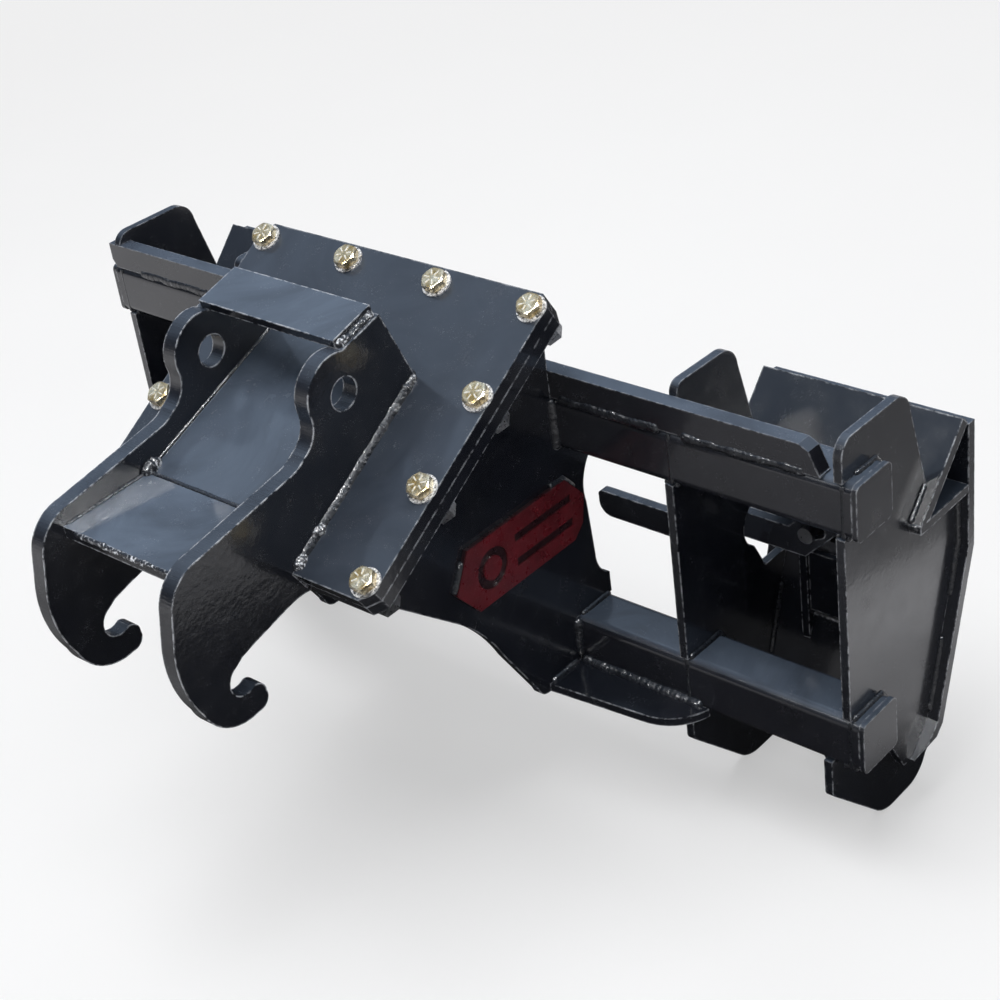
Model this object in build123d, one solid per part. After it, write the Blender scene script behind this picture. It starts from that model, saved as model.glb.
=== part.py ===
from build123d import *
import math
import os

# ---------------------------------------------------------------- dimensions
# All lengths in millimetres.  X runs along the two frame tubes, +Y points out
# of the mating face towards the attachment, +Z is up along the side plates.
# Geometry is laid out from the front/top line of the top tube and shifted at
# the end so that the axis of the ear pin bores is the origin.

TUBE = 63.5             # square frame tube, outside
TUBE_WALL = 6.35
TUBE_R = 11.0           # outside corner radius
TUBE_HALF = 544.0       # half length of the tubes without their caps
CAP_T = 6.0
LOW_Z = -284.5          # top face of the lower tube (top tube top face is 0)
FIT = 0.2               # weld fit-up gap round the tubes

TILT = math.radians(31.0)   # slope of the bolted flange
FL_Y, FL_Z = -14.7, 132.6   # top rear line of the flange surface
FL_W = 420.0            # flange width
FL_L = 366.0            # flange length down the slope
FL_T = 16.0             # one flange plate
FL_CH = 13.0            # corner chamfer
BOLT_PX = 130.0         # bolt pitch across
BOLT_PS = 109.0         # bolt pitch down the slope
BOLT_S0 = 20.0          # first bolt row
BOLT_D = 15.875
BOLT_HOLE = 17.5
BOLT_AF = 24.6
BOLT_HEAD = 10.3
NUT_H = 14.0
NUT_BORE = 16.0
WASHER_D, WASHER_T = 33.3, 2.0

EAR_IN = 88.0           # inner faces of the ears
EAR_T = 19.0
PIN_S, PIN_H = 196.0, 74.0  # pin bore in flange coordinates
PIN_D = 35.0
HOOK_S, HOOK_H = 477.0, -19.5
HOOK_R = 18.5           # hook seat radius
FLOOR_T = 12.0

GUS_OUT = 176.0         # outer face of the gussets
GUS_T = 10.0
WING_END = 355.0
WING_T = 10.0

OUT_X = 535.0           # outer face of the outer side plate
IN_X = 330.0            # module-side face of the inner side plate
FOOT_X = 510.0          # outer face of the foot plate
PLT = 10.0              # side plate thickness
MOD_A, MOD_B = 306.0, 548.0     # wedge, shelf and mount plates
WEDGE_T = 12.7
MATE_Y = 226.0          # mating face
MOUNT_T = 12.0
BEND_Z = -190.0
BAR_W, BAR_H = 19.0, 32.0       # lip bar on the top tube

LEV_Y0, LEV_Y1 = 148.0, 160.0   # lever plate
PIV_X, PIV_Z = 434.0, -142.0    # lever pivot
CRS_X, CRS_Z = 392.0, -184.0    # cross pin on the latch pin
PIVOT_D = 20.0
CROSS_D = 12.0
LP_A, LP_B = 378.15, 429.85     # latch pin sides
LP_Y0, LP_Y1 = 174.2, 197.0     # latch pin front and rear
LP_BOT = -470.0
RIB_A, RIB_B = 368.0, 440.0     # outsides of the two guide ribs

CT, ST = math.cos(TILT), math.sin(TILT)


def fl(s, h):
    """Flange coordinates (s down the slope, h above the surface) to (y, z)."""
    return (FL_Y - s * CT - h * ST, FL_Z - s * ST + h * CT)


PIN_Y, PIN_Z = fl(PIN_S, PIN_H)
SHIFT = Location((0, -PIN_Y, -PIN_Z))


# ------------------------------------------------------------------- helpers
def wire_from(start, segs, place):
    """Closed wire.  segs: ('L', p) or ('A', mid, end)."""
    edges, cur = [], start
    for seg in segs:
        if seg[0] == "L":
            if math.dist(cur, seg[1]) > 1e-6:
                edges.append(Edge.make_line(place(cur), place(seg[1])))
            cur = seg[1]
        else:
            edges.append(Edge.make_three_point_arc(place(cur), place(seg[1]), place(seg[2])))
            cur = seg[2]
    if math.dist(cur, start) > 1e-6:
        edges.append(Edge.make_line(place(cur), place(start)))
    return Wire(edges)


def slab_yz(start, segs, x0, x1):
    """Plate standing in the YZ plane between x0 and x1."""
    lo, hi = min(x0, x1), max(x0, x1)
    w = wire_from(start, segs, lambda p: Vector(lo, p[0], p[1]))
    return extrude(Face(w), amount=hi - lo, dir=(1, 0, 0))


def poly_yz(pts, x0, x1):
    return slab_yz(pts[0], [("L", p) for p in pts[1:]], x0, x1)


def slab_xz(start, segs, y0, y1):
    """Plate standing in the XZ plane between y0 and y1."""
    w = wire_from(start, segs, lambda p: Vector(p[0], y0, p[1]))
    return extrude(Face(w), amount=y1 - y0, dir=(0, 1, 0))


def box(x0, x1, y0, y1, z0, z1):
    b = Solid.make_box(x1 - x0, y1 - y0, z1 - z0)
    return b.moved(Location((x0, y0, z0)))


def cyl_x(r, x0, x1, y, z):
    return Solid.make_cylinder(r, x1 - x0, Plane(origin=(x0, y, z), x_dir=(0, 1, 0), z_dir=(1, 0, 0)))


def cyl_y(r, x, y0, y1, z):
    return Solid.make_cylinder(r, y1 - y0, Plane(origin=(x, y0, z), x_dir=(1, 0, 0), z_dir=(0, 1, 0)))


def hexa(af, thick, plane):
    """Hexagonal prism with its start face on plane."""
    r = af / math.sqrt(3.0)
    pts = [plane.from_local_coords(Vector(r * math.cos(math.radians(60 * i)), r * math.sin(math.radians(60 * i)), 0)) for i in range(6)]
    w = Wire([Edge.make_line(pts[i], pts[(i + 1) % 6]) for i in range(6)])
    return extrude(Face(w), amount=thick, dir=plane.z_dir)


def rounded_bar(size, radius, x0, x1, y0, z0):
    """Square bar with rounded long edges, along X."""
    k = radius * (1 - math.cos(math.radians(45)))
    a, b = y0, y0 + size
    c, d = z0, z0 + size
    segs = [("L", (b - radius, c)), ("A", (b - k, c + k), (b, c + radius)),
            ("L", (b, d - radius)), ("A", (b - k, d - k), (b - radius, d)),
            ("L", (a + radius, d)), ("A", (a + k, d - k), (a, d - radius)),
            ("L", (a, c + radius)), ("A", (a + k, c + k), (a + radius, c))]
    return slab_yz((a + radius, c), segs, x0, x1)


def line_hit(p, d, q, e):
    det = d[0] * (-e[1]) + e[0] * d[1]
    t = ((q[0] - p[0]) * (-e[1]) + e[0] * (q[1] - p[1])) / det
    return (p[0] + t * d[0], p[1] + t * d[1])


def unit(p, q):
    n = math.dist(p, q)
    return ((q[0] - p[0]) / n, (q[1] - p[1]) / n)


def offset_path(pts, t):
    """Polyline moved sideways by t (to the right of its direction)."""
    out = []
    dirs = [unit(pts[i], pts[i + 1]) for i in range(len(pts) - 1)]
    for i, p in enumerate(pts):
        if i == 0:
            d = dirs[0]
            out.append((p[0] + d[1] * t, p[1] - d[0] * t))
        elif i == len(pts) - 1:
            d = dirs[-1]
            out.append((p[0] + d[1] * t, p[1] - d[0] * t))
        else:
            d, e = dirs[i - 1], dirs[i]
            a = (p[0] + d[1] * t, p[1] - d[0] * t)
            b = (p[0] + e[1] * t, p[1] - e[0] * t)
            out.append(line_hit(a, d, b, e))
    return out


def as_list(shape):
    if isinstance(shape, (list, tuple)):
        res = []
        for s in shape:
            res += as_list(s)
        return res
    return list(shape.solids())


def mirror_x(shape):
    return [s.mirror(Plane.YZ) for s in as_list(shape)]


os.makedirs("parts", exist_ok=True)
WRITTEN = []


def write(name, shape):
    solids = [s.moved(SHIFT) for s in as_list(shape)]
    for s in solids:
        s.label = name
    obj = solids[0] if len(solids) == 1 else Compound(children=solids, label=name)
    export_step(obj, os.path.join("parts", name + ".step"))
    WRITTEN.append((name, len(solids)))


def both(name, right):
    """Write the +X piece and its mirror image."""
    write(name + "_right", right)
    write(name + "_left", mirror_x(right))


# --------------------------------------------------------------------- frame
def frame_tube(z_top):
    outer = rounded_bar(TUBE, TUBE_R, -TUBE_HALF, TUBE_HALF, 0.0, z_top - TUBE)
    inner = rounded_bar(TUBE - 2 * TUBE_WALL, TUBE_R - TUBE_WALL, -TUBE_HALF - 1, TUBE_HALF + 1,
                        TUBE_WALL, z_top - TUBE + TUBE_WALL)
    return outer - inner


write("top_tube", frame_tube(0.0))
write("bottom_tube", frame_tube(LOW_Z))

caps = []
for z_top in (0.0, LOW_Z):
    for sx in (1, -1):
        x0, x1 = (TUBE_HALF, TUBE_HALF + CAP_T) if sx > 0 else (-TUBE_HALF - CAP_T, -TUBE_HALF)
        caps.append(rounded_bar(TUBE, 7.0, x0, x1, 0.0, z_top - TUBE))
write("tube_end_caps", caps)

# lip bar standing on the front edge of the top tube, right end bevelled
bar = poly_yz([(0, 0), (BAR_W, 0), (BAR_W, BAR_H), (0, BAR_H)], -545.0, 510.0)
bar -= slab_xz((485.0, BAR_H + 1), [("L", (511, BAR_H + 1)), ("L", (511, 2)), ("L", (509, 2)), ("L", (498, 26))], -1, BAR_W + 1)
bar -= slab_xz((-546.0, -1), [("L", (-538, -1)), ("L", (-546, 12))], -1, BAR_W + 1)
write("top_lip_bar", bar)

# ------------------------------------------------------- mating side plates
# mount plate: outer (mating) surface path, vertical, then leaning in, then curled
mate = [(MATE_Y, -38.0), (MATE_Y, BEND_Z), (160.0, -385.0), (122.0, -420.0)]
mate_in = offset_path(mate, MOUNT_T)
SL_D = unit(mate_in[1], mate_in[2])


def y_in(z):
    """Inner surface of the mount plate at height z."""
    if z >= mate_in[1][1]:
        return mate_in[0][0]
    return mate_in[1][0] + (z - mate_in[1][1]) * SL_D[0] / SL_D[1]


mount = poly_yz(mate + mate_in[::-1], MOD_A, MOD_B)
# window the latch pin comes out through
mount -= box(LP_A - 1.1, LP_B + 1.1, LP_Y0 - 1.0, LP_Y1 + 1.0, -353.0, -232.0)
# softened outer lower corner
mount -= slab_xz((MOD_B + 1, -395), [("L", (MOD_B + 1, -425)), ("L", (MOD_B - 16, -425))], 90, 200)
both("mount_plate", mount)

# 45 degree wedge plate
WF = 229.0
w_top_f = (203.0, 203.0 - WF)
off = WEDGE_T / math.sqrt(2.0)
w_top_r = (w_top_f[0] + off, w_top_f[1] - off)
SHELF_Z = -110.0
w_bot_f = (WF + SHELF_Z, SHELF_Z)
w_bot_r = (WF + 2 * off + SHELF_Z, SHELF_Z)
wedge = poly_yz([w_top_f, w_top_r, w_bot_r, w_bot_f], MOD_A, MOD_B)
both("wedge_plate", wedge)

SHELF_T = 10.0
shelf = poly_yz([(w_bot_f[0], SHELF_Z), (mate_in[0][0], SHELF_Z), (mate_in[0][0], SHELF_Z - SHELF_T), (w_bot_f[0], SHELF_Z - SHELF_T)], MOD_A, MOD_B)
both("shelf_plate", shelf)

SH_B = SHELF_Z - SHELF_T - FIT
T_IN = TUBE + FIT
LOW_T = LOW_Z + FIT
LOW_B = LOW_Z - TUBE - FIT
we = (151.0, 151.0 - WF + 0.15)
wv = (w_bot_f[0] - 0.1, SHELF_Z)

outer_segs = [("L", (0, 22)), ("A", (5, 39), (19, 46)), ("L", (97, 45)), ("A", (114, 39), (124, 20)),
              ("L", we), ("L", wv), ("L", (wv[0], SH_B)), ("L", (y_in(-121) - FIT, SH_B)),
              ("L", (mate_in[1][0] - FIT, mate_in[1][1])), ("L", (mate_in[2][0] - FIT, mate_in[2][1] + FIT)),
              ("L", (mate_in[3][0] - 0.4, mate_in[3][1] + 0.2)), ("L", (100, -410)), ("L", (64.5, LOW_B - 1)), ("L", (T_IN, LOW_B)),
              ("L", (T_IN, LOW_T)), ("L", (0, LOW_T)), ("L", (0, -TUBE - FIT)), ("L", (T_IN, -TUBE - FIT)),
              ("L", (T_IN, FIT))]
outer = slab_yz((0, FIT), outer_segs, OUT_X - PLT, OUT_X)
write("outer_side_plate_right", outer)
bar_gap = box(-546, 511, -1, BAR_W + FIT, -1, BAR_H + FIT)
outer_l = mirror_x(outer)[0] - bar_gap
write("outer_side_plate_left", outer_l)

foot_segs_tail = [("L", (122.4, -420.3)), ("L", (160.4, -385.4)), ("L", (188, -404)), ("A", (201, -428), (186, -462)), ("A", (170, -480), (148, -486)), ("L", (118, -486)), ("A", (100, -483), (84, -474)),
                  ("L", (4, -397)), ("A", (0.5, -392), (0, -386)), ("L", (0, LOW_B))]
cx_out = (mate[3][0] - 0.3, mate[3][1] - 0.6)
cx_in = (mate_in[3][0] - 0.4, mate_in[3][1] + 0.2)
inner_segs = [("L", (BAR_W + FIT + 0.2, 34)), ("A", (BAR_W + 4, 42.5), (BAR_W + 14, 46)), ("L", (97, 45)), ("A", (114, 39), (124, 20)),
              ("L", we), ("L", wv), ("L", (wv[0], SH_B)), ("L", (132, SH_B)), ("L", (130, -160)),
              ("A", (116, -186), (133, -212)), ("L", (148, -240)), ("A", (151, -246), (157, -248)),
              ("L", (y_in(-248) - FIT, -248)), ("L", (mate_in[2][0] - FIT, mate_in[2][1] + FIT)),
              ("L", cx_in), ("L", cx_out)] + foot_segs_tail + [
              ("L", (T_IN, LOW_B)), ("L", (T_IN, LOW_T)), ("L", (0, LOW_T)), ("L", (0, -TUBE - FIT)),
              ("L", (T_IN, -TUBE - FIT)), ("L", (T_IN, FIT))]
inner = slab_yz((BAR_W + FIT + 0.2, FIT), inner_segs, IN_X - PLT, IN_X)
both("inner_side_plate", inner)

foot_segs = [("L", (T_IN, -300)), ("L", (T_IN + 12, -288)), ("L", (y_in(-288) - FIT, -288)), ("L", (mate_in[2][0] - FIT, mate_in[2][1] + FIT)),
             ("L", cx_in), ("L", cx_out)] + foot_segs_tail
foot = slab_yz((T_IN, LOW_B), foot_segs, FOOT_X - PLT, FOOT_X)
both("foot_plate", foot)

# ------------------------------------------------------------ latch guides
RIB_TOP = -204.0


def rib(x0, x1):
    return poly_yz([(162, RIB_TOP), (y_in(RIB_TOP) - 0.05, RIB_TOP), (y_in(-338) - 0.05, -338), (162, -338)], x0, x1)


both("guide_rib_inner", rib(RIB_A, RIB_A + PLT))
both("guide_rib_outer", rib(RIB_B - PLT, RIB_B))
both("guide_front_plate", box(RIB_A + PLT, RIB_B - PLT, 166.0, 174.0, -300.0, -222.0))
both("guide_keeper_bar", box(RIB_A + PLT, RIB_B - PLT, LP_Y1 + 0.2, 203.5, -219.0, RIB_TOP))

# latch (wedge) pin: flat bar, tapered lower end, tang with eye on top
lp = poly_yz([(LP_Y0, -207.0), (LP_Y1, -207.0), (LP_Y1, LP_BOT + 46), (LP_Y0 + 11, LP_BOT), (LP_Y0, LP_BOT)], LP_A, LP_B)
tang = slab_xz((382.0, -209.0), [("L", (382.0, -184.0)), ("A", (CRS_X, -172.0), (402.0, -184.0)), ("L", (402.0, -209.0))], LP_Y0, LP_Y0 + 12)
lp = lp + tang
lp -= cyl_y(CROSS_D / 2 + 0.02, CRS_X, 170, 200, CRS_Z)
both("latch_pin", lp)

# cross pin: headed pin carried by the tang, working in the lever slot
cross = cyl_y(CROSS_D / 2, CRS_X, 146.0, 191.0, CRS_Z) + cyl_y(9.5, CRS_X, 141.0, 147.0, CRS_Z)
cross -= cyl_x(1.7, CRS_X - 12, CRS_X + 12, 188.5, CRS_Z)
both("cross_pin", cross)

# --------------------------------------------------------------- latch lever
q = 15.0 / math.sqrt(2.0)
H_R = 19.0
hub = H_R / math.sqrt(2.0)
up_a = (PIV_X - 19 / math.sqrt(2), PIV_Z + 19 / math.sqrt(2))
dn_a = (PIV_X + 19 / math.sqrt(2), PIV_Z - 19 / math.sqrt(2))
top_z, bot_z = -183.0, -216.0
lev_segs = [
    ("L", (194, -218)), ("A", (212, -215.5), (228, -208)),
    ("L", (262, -189)), ("A", (272, -184.5), (284, top_z)),
    ("L", (up_a[0] - (up_a[1] - top_z), top_z)), ("L", up_a),
    ("A", (PIV_X + H_R * math.cos(math.radians(45)), PIV_Z + H_R * math.sin(math.radians(45))), dn_a),
    ("L", (dn_a[0] - (dn_a[1] - bot_z) , bot_z)), ("L", (286, bot_z)),
    ("A", (274, -217.5), (263, -222)), ("L", (230, -240)), ("A", (213, -248.5), (194, -251)),
    ("L", (113, -251)), ("A", (101, -244), (97.5, -231)), ("L", (97.5, -226)), ("A", (99, -220), (104, -218))]
lever = slab_xz((104, -218), lev_segs, LEV_Y0, LEV_Y1)
lever -= cyl_y(PIVOT_D / 2 + 0.05, PIV_X, LEV_Y0 - 1, LEV_Y1 + 1, PIV_Z)
# slot for the cross pin
ang = math.radians(25.1)
sl = 13.8
sa = (CRS_X, CRS_Z)
sb = (sa[0] + sl * math.cos(ang), sa[1] + sl * math.sin(ang))
rs = 8.4
nx, nz = -math.sin(ang) * rs, math.cos(ang) * rs
slot = slab_xz((sa[0] + nx, sa[1] + nz), [
    ("L", (sb[0] + nx, sb[1] + nz)), ("A", (sb[0] + rs * math.cos(ang), sb[1] + rs * math.sin(ang)), (sb[0] - nx, sb[1] - nz)),
    ("L", (sa[0] - nx, sa[1] - nz)), ("A", (sa[0] - rs * math.cos(ang), sa[1] - rs * math.sin(ang)), (sa[0] + nx, sa[1] + nz))],
    LEV_Y0 - 1, LEV_Y1 + 1)
lever -= slot
both("latch_lever", lever)

# pivot bracket under the shelf, pivot bolt, washer and nut
brk = slab_xz((413.0, SHELF_Z - SHELF_T), [("L", (462.0, SHELF_Z - SHELF_T)), ("L", (462.0, -146.0)), ("A", (448, -164), (434.0, -167.0)), ("A", (420, -160), (413.0, -146.0))], 162.0, 174.0)
brk -= cyl_y(PIVOT_D / 2 + 0.3, PIV_X, 150, 180, PIV_Z)
both("pivot_bracket", brk)
front = Plane(origin=(PIV_X, 147.0, PIV_Z), x_dir=(1, 0, 0), z_dir=(0, -1, 0))
pbolt = cyl_y(PIVOT_D / 2, PIV_X, 147.0, 196.0, PIV_Z) + hexa(30.0, 12.0, front)
both("pivot_bolt", pbolt)
rear = Plane(origin=(PIV_X, 176.5, PIV_Z), x_dir=(1, 0, 0), z_dir=(0, 1, 0))
pnut = hexa(30.0, 16.0, rear) - cyl_y(PIVOT_D / 2 + 0.08, PIV_X, 170, 200, PIV_Z)
both("pivot_nut", pnut)
pw = cyl_y(18.5, PIV_X, 174.1, 176.4, PIV_Z) - cyl_y(PIVOT_D / 2 + 0.3, PIV_X, 170, 180, PIV_Z)
sp = cyl_y(15.0, PIV_X, LEV_Y1 + 0.1, 161.9, PIV_Z) - cyl_y(PIVOT_D / 2 + 0.3, PIV_X, 150, 170, PIV_Z)
both("pivot_washers", [pw, sp])

# ---------------------------------------------------------------- gussets
g_top_r = fl(4.4, -2 * FL_T - 0.02)
g_front = fl(345.0, -2 * FL_T - 0.02)
gus_segs = [("L", (-0.15, -TUBE - FIT)), ("L", (TUBE, -TUBE - FIT)), ("L", (TUBE, -84)),
            ("A", (40, -112), (38, -150)), ("L", (43, -222)), ("A", (50, -246), (TUBE, -258)), ("L", (TUBE, LOW_T)), ("L", (-0.15, LOW_T)),
            ("L", (-0.15, -350)), ("L", (-62, -350)), ("A", (-71, -346), (-77, -336)), ("L", (-122, -262)),
            ("A", (-148, -219), (-182, -182)), ("L", (g_front[0] + 10, g_front[1] - 22)), ("L", g_front), ("L", (-0.15, g_top_r[1] + (g_top_r[0] + 0.15) * -ST / CT))]
gus_segs[-1] = ("L", (-0.15, g_top_r[1] + (-0.15 - g_top_r[0]) * ST / CT))
gusset = slab_yz((-0.15, g_top_r[1] + (-0.15 - g_top_r[0]) * ST / CT), gus_segs[:-1], GUS_OUT - GUS_T, GUS_OUT)
both("gusset", gusset)

# wing plate beside each gusset, at the foot of the lower tube
wing_w = Wire([Edge.make_line(Vector(GUS_OUT + 0.1, -1.0, -350), Vector(GUS_OUT + 0.1, -58, -350)),
               Edge.make_line(Vector(GUS_OUT + 0.1, -58, -350), Vector(300, -47, -350)),
               Edge.make_three_point_arc(Vector(300, -47, -350), Vector(337, -31, -350), Vector(WING_END, -1.0, -350)),
               Edge.make_line(Vector(WING_END, -1.0, -350), Vector(GUS_OUT + 0.1, -1.0, -350))])
wing = extrude(Face(wing_w), amount=WING_T, dir=(0, 0, 1))
both("wing_plate", wing)

# badge plate on the right gusset, plain ring and bars cut in its face
bx0, bx1 = GUS_OUT, GUS_OUT + 6.0
badge = poly_yz([(-183, -145), (-160, -101), (0, -101), (28, -133), (22, -166), (6, -181), (-153, -181)], bx0 + 0.02, bx1)
badge -= (cyl_x(24, bx1 - 3, bx1 + 1, -126, -141) - cyl_x(14, bx1 - 4, bx1 + 2, -126, -141))
badge -= box(bx1 - 3, bx1 + 1, -88, 6, -131, -121)
badge -= box(bx1 - 3, bx1 + 1, -88, 6, -161, -151)
write("badge_plate", badge)

# ------------------------------------------------------------ flange stack
cols = [(-1.5 + i) * BOLT_PX for i in range(4)]
rows = [BOLT_S0 + j * BOLT_PS for j in range(4)]
BOLTS = [(x, s) for j, s in enumerate(rows) for i, x in enumerate(cols) if i in (0, 3) or j in (0, 3)]


def fpl(x, s, h, flip=1):
    y, z = fl(s, h)
    return Plane(origin=(x, y, z), x_dir=(1, 0, 0), z_dir=(0, -ST * flip, CT * flip))


def flange_plate(h0, h1):
    hw = FL_W / 2
    pts = [(-hw + FL_CH, 0), (hw - FL_CH, 0), (hw, FL_CH), (hw, FL_L - FL_CH), (hw - FL_CH, FL_L), (-hw + FL_CH, FL_L), (-hw, FL_L - FL_CH), (-hw, FL_CH)]
    v = [Vector(x, *fl(s, h0)) for x, s in pts]
    w = Wire([Edge.make_line(v[i], v[(i + 1) % 8]) for i in range(8)])
    body = extrude(Face(w), amount=h1 - h0, dir=(0, -ST, CT))
    for x, s in BOLTS:
        body -= Solid.make_cylinder(BOLT_HOLE / 2, h1 - h0 + 2, fpl(x, s, h0 - 1))
    return body


write("upper_flange_plate", flange_plate(-FL_T, 0.0))
write("lower_flange_plate", flange_plate(-2 * FL_T, -FL_T - 0.01))

washers, bolts, nuts = [], [], []
for n, (x, s) in enumerate(BOLTS):
    washers.append(Solid.make_cylinder(WASHER_D / 2, WASHER_T, fpl(x, s, 0.02)) - Solid.make_cylinder(BOLT_HOLE / 2, WASHER_T + 2, fpl(x, s, -1)))
    head = hexa(BOLT_AF, BOLT_HEAD, fpl(x, s, WASHER_T + 0.04))
    cone = Solid.make_cone(BOLT_AF / 2 + 17.4, BOLT_AF / 2 - 0.8, 10.5, fpl(x, s, WASHER_T + BOLT_HEAD - 10.46 + 0.04))
    head = head & (cone + Solid.make_cylinder(40, BOLT_HEAD - 10.3, fpl(x, s, WASHER_T)))
    shank = Solid.make_cylinder(BOLT_D / 2, WASHER_T + 2 * FL_T + NUT_H + 4.5 + 1, fpl(x, s, -2 * FL_T - NUT_H - 4.5))
    tip = Solid.make_cone(BOLT_D / 2 - 2.0, BOLT_D / 2, 2.0, fpl(x, s, -2 * FL_T - NUT_H - 6.5))
    bolts.append(head + shank + tip)
    nuts.append(hexa(BOLT_AF, NUT_H, fpl(x, s, -2 * FL_T - 0.02, -1)) - Solid.make_cylinder(NUT_BORE / 2, NUT_H + 2, fpl(x, s, -2 * FL_T - NUT_H - 1)))
write("flange_washers", washers)
write("flange_bolts", bolts)
write("flange_nuts", nuts)

# ------------------------------------------------------------- ear bracket
def F(*sh):
    return fl(*sh)


hr = HOOK_R
ear_segs = [
    ("L", F(167, 108)), ("A", F(184, 120.5), F(205, 122.5)), ("A", F(226, 114), F(238, 97)),
    ("A", F(250, 79), F(272, 73)), ("A", F(286, 73), F(299, 77)), ("L", F(416, 122)), ("A", F(447, 126.5), F(474, 111)),
    ("L", F(500, 82)), ("A", F(522, 44), F(530, 2)), ("A", F(524, -40), F(494, -64)), ("A", F(480, -66), F(472, -56)),
    ("A", F(469.5, -48), F(HOOK_S - 1.5, HOOK_H - hr - 0.2)),
    ("L", F(HOOK_S, HOOK_H - hr)), ("A", F(HOOK_S + hr, HOOK_H), F(HOOK_S, HOOK_H + hr)),
    ("L", F(462, HOOK_H + hr + 0.2)), ("L", F(440, -6.5)), ("L", F(392, -21)), ("A", F(380, -26), F(FL_L + 0.3, -35)), ("L", F(FL_L + 0.3, 0.02)),
    ("L", F(126, 0.02)),
]
ear = slab_yz(F(112, 92), ear_segs, EAR_IN, EAR_IN + EAR_T)
ear -= cyl_x(PIN_D / 2, EAR_IN - 1, EAR_IN + EAR_T + 1, PIN_Y, PIN_Z)
both("ear_plate", ear)

TOP_HALF = EAR_IN + EAR_T * 0.55
a, b = (112, 92), (167, 108)
d = unit(a, b)
up = (-d[1] * 10.0, d[0] * 10.0)
g0 = 0.03
a2 = (a[0] - d[1] * g0, a[1] + d[0] * g0)
b2 = (b[0] - d[1] * g0, b[1] + d[0] * g0)
top_plate = poly_yz([F(*a2), F(*b2), F(b2[0] + up[0], b2[1] + up[1]), F(a2[0] + up[0], a2[1] + up[1])], -TOP_HALF, TOP_HALF)
write("bracket_top_plate", top_plate)

E = EAR_IN - 0.1
floor = poly_yz([F(128, 22), F(337, 56), F(338.9, 44.2), F(130, 10.2)], -E, E)
write("bracket_floor_plate", floor)
shelf_f = poly_yz([F(338.6, 57.3), F(437, 112), F(443.4, 100.6), F(345, 45.9)], -E, E)
write("bracket_front_shelf", shelf_f)

print(len(WRITTEN), "nodes", sum(n for _, n in WRITTEN), "solids")
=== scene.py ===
import bpy, bmesh, math, random
from mathutils import Vector, Matrix, noise


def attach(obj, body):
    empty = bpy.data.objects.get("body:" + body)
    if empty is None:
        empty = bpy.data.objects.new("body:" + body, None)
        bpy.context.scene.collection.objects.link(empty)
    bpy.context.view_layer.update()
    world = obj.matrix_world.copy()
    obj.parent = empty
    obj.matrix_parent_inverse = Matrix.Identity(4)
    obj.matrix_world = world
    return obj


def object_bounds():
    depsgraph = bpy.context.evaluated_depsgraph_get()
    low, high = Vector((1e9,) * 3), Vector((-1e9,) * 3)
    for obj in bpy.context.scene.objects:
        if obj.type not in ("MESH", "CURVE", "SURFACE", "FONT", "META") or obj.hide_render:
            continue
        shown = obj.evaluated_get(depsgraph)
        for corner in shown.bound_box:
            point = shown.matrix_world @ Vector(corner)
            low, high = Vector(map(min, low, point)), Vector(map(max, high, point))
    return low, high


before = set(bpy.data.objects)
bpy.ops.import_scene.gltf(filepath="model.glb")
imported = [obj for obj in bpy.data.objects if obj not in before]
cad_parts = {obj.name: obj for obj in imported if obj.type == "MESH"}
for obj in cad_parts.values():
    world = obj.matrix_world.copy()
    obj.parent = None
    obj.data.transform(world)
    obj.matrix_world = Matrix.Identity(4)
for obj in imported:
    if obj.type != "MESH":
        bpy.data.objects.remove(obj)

LO0, HI0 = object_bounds()
LO0, HI0 = [float(v) for v in LO0], [float(v) for v in HI0]
ROOT = "coupler_frame"
TILT = math.radians(31.0)
CT, ST = math.cos(TILT), math.sin(TILT)


def fl(s, h):
    return (-14.7 - s * CT - h * ST, 132.6 - s * ST + h * CT)


PY, PZ = fl(196.0, 74.0)


def W(x, y, z):
    """Layout millimetres to row-frame metres."""
    return Vector((x / 1000.0, (y - PY) / 1000.0, (z - PZ) / 1000.0))


def F(x, s, h):
    y, z = fl(s, h)
    return W(x, y, z)


# ------------------------------------------------------------------ materials
def new_mat(name):
    m = bpy.data.materials.new(name)
    m.use_nodes = True
    nt = m.node_tree
    for n in list(nt.nodes):
        nt.nodes.remove(n)
    out = nt.nodes.new("ShaderNodeOutputMaterial")
    bsdf = nt.nodes.new("ShaderNodeBsdfPrincipled")
    nt.links.new(bsdf.outputs[0], out.inputs[0])
    return m, nt, bsdf


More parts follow.
